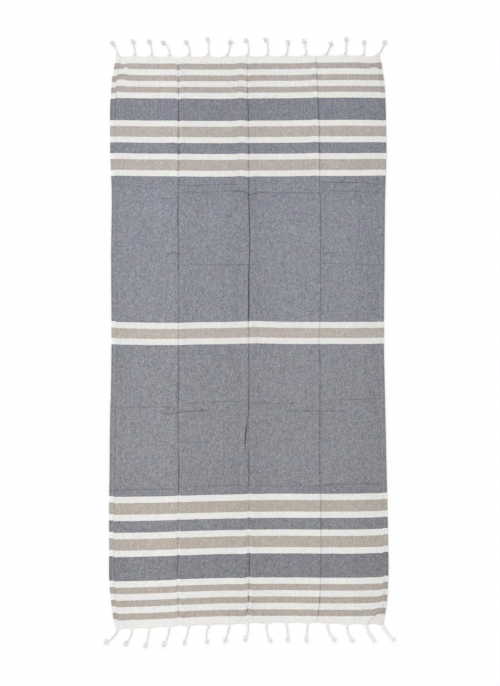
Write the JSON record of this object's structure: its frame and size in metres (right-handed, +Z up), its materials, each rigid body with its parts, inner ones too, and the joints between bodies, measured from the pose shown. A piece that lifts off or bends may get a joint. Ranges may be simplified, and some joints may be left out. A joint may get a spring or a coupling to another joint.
{
  "type": "hammam towel",
  "caption": "Flat-woven hammam towel laid out flat, with stitched side hems and a row of knotted, twisted tassels at each end.",
  "frame": {"origin": "on the surface that the towel lies on, in the middle of the box that the cloth and its tassels fill", "axes": "+X across the towel, +Y along it towards the upper fringe, +Z up from the surface"},
  "size_m": [0.955, 2.0036, 0.011],
  "materials": {
    "woven_cotton": "plain-woven cotton, off-white warp with navy, beige and off-white weft bands",
    "tassel_cotton": "twisted off-white cotton warp ends"
  },
  "bodies": {
    "root": {"towel_cloth": "woven_cotton", "fringe_upper": "tassel_cotton", "fringe_lower": "tassel_cotton"}
  },
  "joints": []
}
